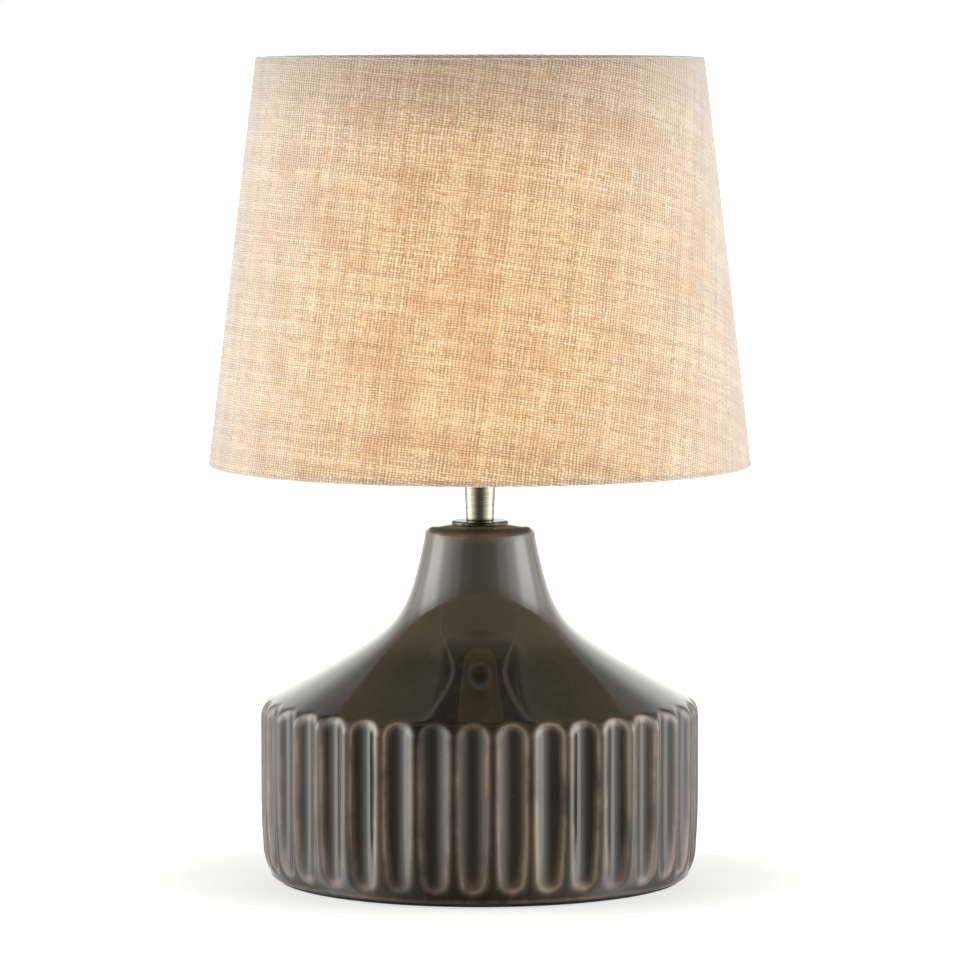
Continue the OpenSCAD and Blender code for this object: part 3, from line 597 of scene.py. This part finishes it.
def flutes(outside, columns, drumR, foot):  # carves soft flutes inward along the outline's normals
    s = baseShape
    rng = np.random.default_rng(11)
    count = s["fluteCount"]
    fluteR = (s["fluteW"] ** 2 / 4 + s["fluteDepth"] ** 2) / (2 * s["fluteDepth"])
    turn = np.linspace(0, 2 * math.pi, columns, endpoint=False)
    which = np.round(turn / (2 * math.pi / count)).astype(int) % count
    drift = np.radians(rng.normal(0, 0.10, count))[which]  # hand-finished moulds are never quite even
    depth = rng.normal(0, 0.10, count)[which]
    low = rng.normal(0, 0.35, count)[which]
    angle = (turn + math.pi / count) % (2 * math.pi / count) - math.pi / count - drift
    axisR = drumR - s["fluteDepth"] + fluteR + depth
    lowZ = foot + s["fluteLow"] + low
    along = np.gradient(outside, axis=0)
    along /= np.linalg.norm(along, axis=1)[:, None]
    normal = np.stack([along[:, 1], -along[:, 0]], -1)

    def capsule(t):
        r = outside[:, 0][:, None] - normal[:, 0][:, None] * t
        z = outside[:, 1][:, None] - normal[:, 1][:, None] * t
        x, y = r * np.cos(angle) - axisR, r * np.sin(angle)
        return np.sqrt(x ** 2 + y ** 2 + np.minimum(z - lowZ, 0) ** 2) - fluteR

    def field(t):
        a, b = -t, -capsule(t)
        mixed = np.maximum(s["ridgeSoft"] - np.abs(a - b), 0) / s["ridgeSoft"]
        return np.maximum(a, b) + mixed ** 2 * s["ridgeSoft"] / 4, mixed

    near, far = np.zeros((len(outside), columns)), np.full((len(outside), columns), 7.0)
    for _ in range(26):
        middle = (near + far) / 2
        outsideYet = field(middle)[0] > 1e-6
        near, far = np.where(outsideYet, middle, near), np.where(outsideYet, far, middle)
    depthOf = np.where(far < 0.002, 0, far)
    # beside a flute the glaze thins too
    beside = 0.5 * np.exp(-np.maximum(capsule(0 * far), 0) / 2.6) * (depthOf < 1.2)
    rim = field(depthOf)[1] ** 1.3 * (depthOf > 0.004)
    return depthOf, np.maximum(rim, beside), normal


glazeRun = {  # how much the glaze thins at the lip and the toe, 1 at most, and where, in mm; the pale band at the lip is partly real thin glaze and partly a painted highlight
    "lip": 0.85, "lipDown": 3.8, "lipBelow": 3.2, "lipAbove": 1.6,
    "toe": 0.6, "toeUp": 1.2, "toeReach": 0.9,
}


def makeBase():
    foot, neckZ = span("ceramic_base")
    drumR = nodeRadius("ceramic_base")
    outside, inside = baseOutline(foot, neckZ, drumR)
    columns = baseShape["fluteCount"] * baseShape["columnsPerFlute"]
    depth, ridge, normal = flutes(outside, columns, drumR, foot)
    grid = revolve(np.concatenate([outside, inside]), columns)
    rows = len(outside)
    turn = np.linspace(0, 2 * math.pi, columns, endpoint=False)
    r = outside[:, 0][:, None] - normal[:, 0][:, None] * depth
    z = outside[:, 1][:, None] - normal[:, 1][:, None] * depth
    grid[:rows] = np.stack([r * np.sin(turn), -r * np.cos(turn), z], -1)
    bare = np.zeros(len(grid), bool)
    bare[rows - 1:] = True
    piece = gridPiece("glazedBase", grid, [glaze(neckZ), rawClay()], bare)
    g = glazeRun
    below = neckZ - g["lipDown"] - outside[:, 1]
    # the pale band at the lip is a painted highlight as well as thin glaze
    lip = g["lip"] * np.exp(-(below / np.where(below > 0, g["lipBelow"], g["lipAbove"])) ** 2)
    toe = g["toe"] * np.exp(-((outside[:, 1] - (foot + g["toeUp"])) / g["toeReach"]) ** 2)
    edge = np.zeros(grid.shape[:2])
    edge[:rows] = np.maximum(ridge, np.maximum(lip, toe)[:, None])
    pool = np.zeros(grid.shape[:2])
    pool[:rows] = np.clip(depth / baseShape["fluteDepth"], 0, 1)
    pointValue(piece, "glazeBreakAndLipHighlight", edge)
    pointValue(piece, "glazePool", pool)
    cutInlet(piece)
    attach(piece, "base")
    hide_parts("ceramic_base")


inletShape = {"collar": 1.8, "lip": 1.5, "gap": 0.03, "wideGap": 0.3, "snugGap": 0.15, "past": 12}  # mm


def cutInlet(piece):  # stepped hole for the cable grommet
    s = inletShape
    low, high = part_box("cable_grommet")
    axisZ = (low.z + high.z) / 2 / mm
    rim = (high.z - low.z) / 2 / mm
    body, front, back = rim - s["collar"] + s["gap"], high.y / mm - s["lip"], low.y / mm + s["lip"]
    wide, snug, past = rim + s["wideGap"], rim + s["snugGap"], s["past"]
    steps = [(0.001, back - past), (wide, back - past), (wide, back), (body, back),
             (body, front), (snug, front), (snug, front + past), (0.001, front + past)]
    turn = np.linspace(0, 2 * math.pi, 48, endpoint=False)
    grid = np.array([[(r * math.cos(t), y, axisZ + r * math.sin(t)) for t in turn] for r, y in steps])
    cutter = gridPiece("inletCutter", grid[::-1], [])
    cut = piece.modifiers.new("inlet", "BOOLEAN")
    cut.object, cut.operation, cut.solver = cutter, "DIFFERENCE", "EXACT"
    shaped = bpy.data.meshes.new_from_object(piece.evaluated_get(bpy.context.evaluated_depsgraph_get()))
    piece.modifiers.clear()
    piece.data = shaped
    bpy.data.objects.remove(cutter)


glazeTones = {
    "deep": ((0.013, 0.0098, 0.006), (0.021, 0.0165, 0.0105)),
    "streak": (0.034, 0.026, 0.017),
    "pooled": (0.020, 0.018, 0.014),  # in the flutes
    "neck": (0.052, 0.041, 0.029),
    "speck": (0.12, 0.09, 0.055),
    "thin": (0.080, 0.054, 0.035),
    "bare": (0.20, 0.148, 0.104),  # where the glaze has run off an edge
    "neckH": 48.0,  # mm down from the top, above which the glaze is paler
    "ior": 1.45,
}


def glaze(neckZ):
    c = glazeTones
    material, tree, shader = newMaterial("brownGreyGlaze")
    edge = addNode(tree, "ShaderNodeAttribute", attribute_name="glazeBreakAndLipHighlight").outputs["Fac"]
    pool = addNode(tree, "ShaderNodeAttribute", attribute_name="glazePool").outputs["Fac"]
    place = objectPlace(tree)
    cloud = noise(tree, place, 26.0, 4.0, 0.6)
    streak = noise(tree, objectPlace(tree, stretch=(1, 1, 0.12)), 190.0, 3.0, 0.6)
    speck = noise(tree, place, 900.0, 2.0, 0.6)
    body = mixColour(tree, remap(tree, cloud, 0.3, 0.7), *c["deep"])
    body = mixColour(tree, remap(tree, streak, 0.4, 0.75, 0.0, 0.5), body, c["streak"])
    body = mixColour(tree, calc(tree, "MULTIPLY", pool, 0.45), body, c["pooled"])
    height = addNode(tree, "ShaderNodeSeparateXYZ", {"Vector": place}).outputs["Z"]
    neckLow = neckZ - c["neckH"]
    onNeck = remap(tree, height, (neckLow - 13) * mm, neckLow * mm, 0.0, 0.9)
    body = mixColour(tree, onNeck, body, c["neck"])
    body = mixColour(tree, remap(tree, speck, 0.68, 0.74, 0.0, 0.35), body, c["speck"])
    uneven = remap(tree, cloud, 0.32, 0.62, 0.45, 1.1)
    fade = calc(tree, "MULTIPLY", remap(tree, streak, 0.25, 0.7, 0.6, 1.15), uneven)
    thin = calc(tree, "MULTIPLY", edge, fade, clamp=True)
    body = mixColour(tree, remap(tree, thin, 0.05, 0.5, 0.0, 0.8), body, c["thin"])
    body = mixColour(tree, remap(tree, thin, 0.45, 1.0, 0.0, 0.8), body, c["bare"])
    ripple = noise(tree, place, 32.0, 0.0)
    pits = calc(tree, "MULTIPLY_ADD", speck, 0.01, ripple)
    # thin glaze shines less
    shine = calc(tree, "MULTIPLY_ADD", edge, 0.30, remap(tree, cloud, 0.2, 0.8, 0.03, 0.08))
    setShader(tree, shader, colour=body, ior=c["ior"], rough=shine, normal=bump(tree, pits, 0.0002))
    return material


def rawClay():
    return mottled("rawClay", (0.50, 0.42, 0.33), (0.66, 0.58, 0.47), 60.0, (0.8, 0.95), depth=0.0003)


sleeveShape = {"lowR": 6.43, "highR": 7.2, "soft": 0.4, "rows": 12, "columns": 160}  # mm


def makeSleeve():  # a slim, straight taper from the washer up to the lampholder
    low, high = span("neck_sleeve")
    co = np.array([v.co for v in frame["nodes"]["neck_sleeve"].data.vertices]) / mm
    boreR = float(np.hypot(co[:, 0], co[:, 1]).min())
    lowR, highR, soft = sleeveShape["lowR"], sleeveShape["highR"], sleeveShape["soft"]
    share = np.linspace(0.06, 0.94, sleeveShape["rows"])
    outline = np.concatenate([
        [[boreR, low]],
        arc(lowR - soft, low + soft, soft, -90, 0, 6),
        np.stack([lowR + (highR - lowR) * share, low + (high - low) * share], -1),
        arc(highR - soft, high - soft, soft, 0, 90, 6),
        [[boreR, high]],
    ])
    grid = revolve(outline, sleeveShape["columns"])
    piece = gridPiece("turnedSleeve", grid, [frame["nodes"]["neck_sleeve"].data.materials[0]])
    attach(piece, "base")
    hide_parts("neck_sleeve")


padShape = {"columns": 288, "rings": 22, "soft": 0.45, "fray": 0.05}  # mm


def makePad():
    low, high = span("felt_pad")
    radius = nodeRadius("felt_pad")
    soft = padShape["soft"]
    reach = np.linspace(0.02, 1, padShape["rings"]) * (radius - soft)
    top = np.stack([reach[::-1], 0 * reach + high], -1)
    bottom = np.stack([reach, 0 * reach + low], -1)
    rimLow = arc(radius - soft, low + soft, soft, -75, 0, 4)
    rimHigh = arc(radius - soft, high - soft, soft, 0, 75, 4)
    grid = revolve(np.concatenate([bottom, rimLow, rimHigh, top]), padShape["columns"])
    rng = np.random.default_rng(5)
    fray = rng.normal(0, padShape["fray"], grid.shape[:2])
    fray[:padShape["rings"]] = fray[-padShape["rings"]:] = 0
    grid[..., :2] *= (1 + fray / radius)[..., None]
    piece = gridPiece("feltPad", grid, [felt()])
    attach(piece, "base")
    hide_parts("felt_pad")


def felt():
    material, tree, shader = newMaterial("blackFelt")
    place = objectPlace(tree)
    fibre = noise(tree, place, 1500.0, 4.0, 0.75)
    cloud = noise(tree, place, 60.0, 3.0)
    setShader(tree, shader, colour=mixColour(tree, fibre, (0.003, 0.003, 0.003), (0.014, 0.0135, 0.013)))
    setShader(tree, shader, rough=0.95, sheen=0.03, sheenRough=0.6)
    setShader(tree, shader, normal=bump(tree, calc(tree, "ADD", fibre, cloud), 0.0004))
    return material


studio = {
    "cameraDistance": 2.70,  # metres
    "cameraHeight": 0.406,
    "cameraTurn": 1.8,  # degrees to the right
    "lookHeight": 0.1843,
    "lens": 220.4,
    "strength": 9.6,
    "tint": (0.99, 1.0, 0.965),
    "floorGlow": (0.10, 0.26, 0.50, 1.0),  # from and to this far from the lamp, metres, and how much at each
    "floorReach": 60.0,
    # light from behind (0) past the sides (0.5) to the front (1)
    "around": [(0.0, 0.20), (1.0, 0.03), (0.12, 0.16), (0.26, 0.30), (0.40, 0.85), (0.52, 1.0), (0.68, 0.48),
               (0.86, 0.23), (0.94, 0.07)],
    # light from below (0) past level (0.5) to overhead (1)
    "up": [(0.0, 0.10), (1.0, 0.03), (0.40, 0.42), (0.47, 0.62), (0.52, 0.90), (0.60, 1.0), (0.68, 0.85),
           (0.78, 0.32), (0.90, 0.06)],
}


def makeCamera():
    turn = math.radians(studio["cameraTurn"])
    data = bpy.data.cameras.new("camera")
    data.lens, data.sensor_width = studio["lens"], 36
    camera = bpy.data.objects.new("camera", data)
    reach = studio["cameraDistance"]
    camera.location = (reach * math.sin(turn), -reach * math.cos(turn), studio["cameraHeight"])
    tilt = math.atan((studio["cameraHeight"] - studio["lookHeight"]) / reach)
    camera.rotation_euler = (math.pi / 2 - tilt, 0, turn)
    bpy.context.scene.collection.objects.link(camera)
    bpy.context.scene.camera = camera


def ramp(tree, value, stops):
    made = addNode(tree, "ShaderNodeValToRGB", {"Fac": value})
    made.color_ramp.interpolation = "EASE"
    bars = made.color_ramp.elements
    for i, (place, level) in enumerate(stops):
        bar = bars[i] if i < 2 else bars.new(place)
        bar.position, bar.color = place, (level, level, level, 1)
    return made.outputs["Color"]


def makeRoom():
    world = bpy.data.worlds.new("studio")
    bpy.context.scene.world = world
    world.use_nodes = True
    tree = world.node_tree
    tree.nodes.clear()
    direction = addNode(tree, "ShaderNodeTexCoord").outputs["Generated"]
    parts = addNode(tree, "ShaderNodeSeparateXYZ", {"Vector": direction}).outputs
    squares = [calc(tree, "MULTIPLY", parts[axis], parts[axis]) for axis in "XY"]
    level = calc(tree, "MAXIMUM", calc(tree, "SQRT", calc(tree, "ADD", *squares)), 0.001)
    front = calc(tree, "DIVIDE", calc(tree, "MULTIPLY", parts["Y"], -1.0), level)
    around = ramp(tree, calc(tree, "MULTIPLY_ADD", front, 0.5, 0.5), studio["around"])
    up = ramp(tree, calc(tree, "MULTIPLY_ADD", parts["Z"], 0.5, 0.5), studio["up"])
    white = mixColour(tree, 1.0, mixColour(tree, 1.0, around, up, "MULTIPLY"), studio["tint"], "MULTIPLY")
    shine = {"Color": white, "Strength": studio["strength"]}
    light = addNode(tree, "ShaderNodeBackground", shine).outputs[0]
    plain = addNode(tree, "ShaderNodeBackground", {"Color": (1, 1, 1, 1), "Strength": 1.0}).outputs[0]
    seen = addNode(tree, "ShaderNodeLightPath").outputs["Is Camera Ray"]
    both = addNode(tree, "ShaderNodeMixShader", {0: seen, 1: light, 2: plain}).outputs[0]
    addNode(tree, "ShaderNodeOutputWorld", {"Surface": both})


def makeFloor():
    material, tree, shader = newMaterial("paleFloor")
    place = objectPlace(tree)
    cloud = noise(tree, place, 3.0, 3.0)
    away = addNode(tree, "ShaderNodeVectorMath", {0: place}, operation="LENGTH").outputs["Value"]
    tint = mixColour(tree, cloud, (0.55, 0.55, 0.545), (0.58, 0.58, 0.575))
    setShader(tree, shader, colour=tint, rough=0.8)
    setShader(tree, shader, glow=(1, 1, 1), glowStrength=remap(tree, away, *studio["floorGlow"]))
    reach = studio["floorReach"]
    corners = [(-reach, -reach, 0), (reach, -reach, 0), (reach, reach, 0), (-reach, reach, 0)]
    mesh = bpy.data.meshes.new("floor")
    mesh.from_pydata(corners, [], [(0, 1, 2, 3)])
    mesh.materials.append(material)
    floor = bpy.data.objects.new("floor", mesh)
    floor.location.z = -0.0002
    floor.visible_glossy = False
    bpy.context.scene.collection.objects.link(floor)


def dressFrame(size):  # a finish for every part that keeps its own shape
    made = {"brass": threadedMetal("threadedBrass", **brass), "lining": litLining(size),
            "opal_glass": opalGlass(), "phosphor": glowingPhosphor()}
    for slot, (name, dark, light, scale, rough, more) in finishes.items():
        made[slot] = mottled(name, dark, light, scale, rough, **more)
    for part in frame["record"]["subparts"]:
        if part["material_slot"] in made:
            data = frame["nodes"][part["node"]].data
            data.materials.clear()
            data.materials.append(made[part["material_slot"]])


shadeSize = shadeSizes()
print("shade", {k: round(v, 3) for k, v in shadeSize.items()})
dressFrame(shadeSize)
lightBulb()
print("base")
makeBase()
print("sleeve")
makeSleeve()
print("shade cloth")
makeShade(shadeSize)
print("felt pad")
makePad()
print("studio")
makeCamera()
makeRoom()
makeFloor()
view = bpy.context.scene.view_settings
view.view_transform, view.look = "Standard", "None"
bpy.context.scene.cycles.use_denoising = True
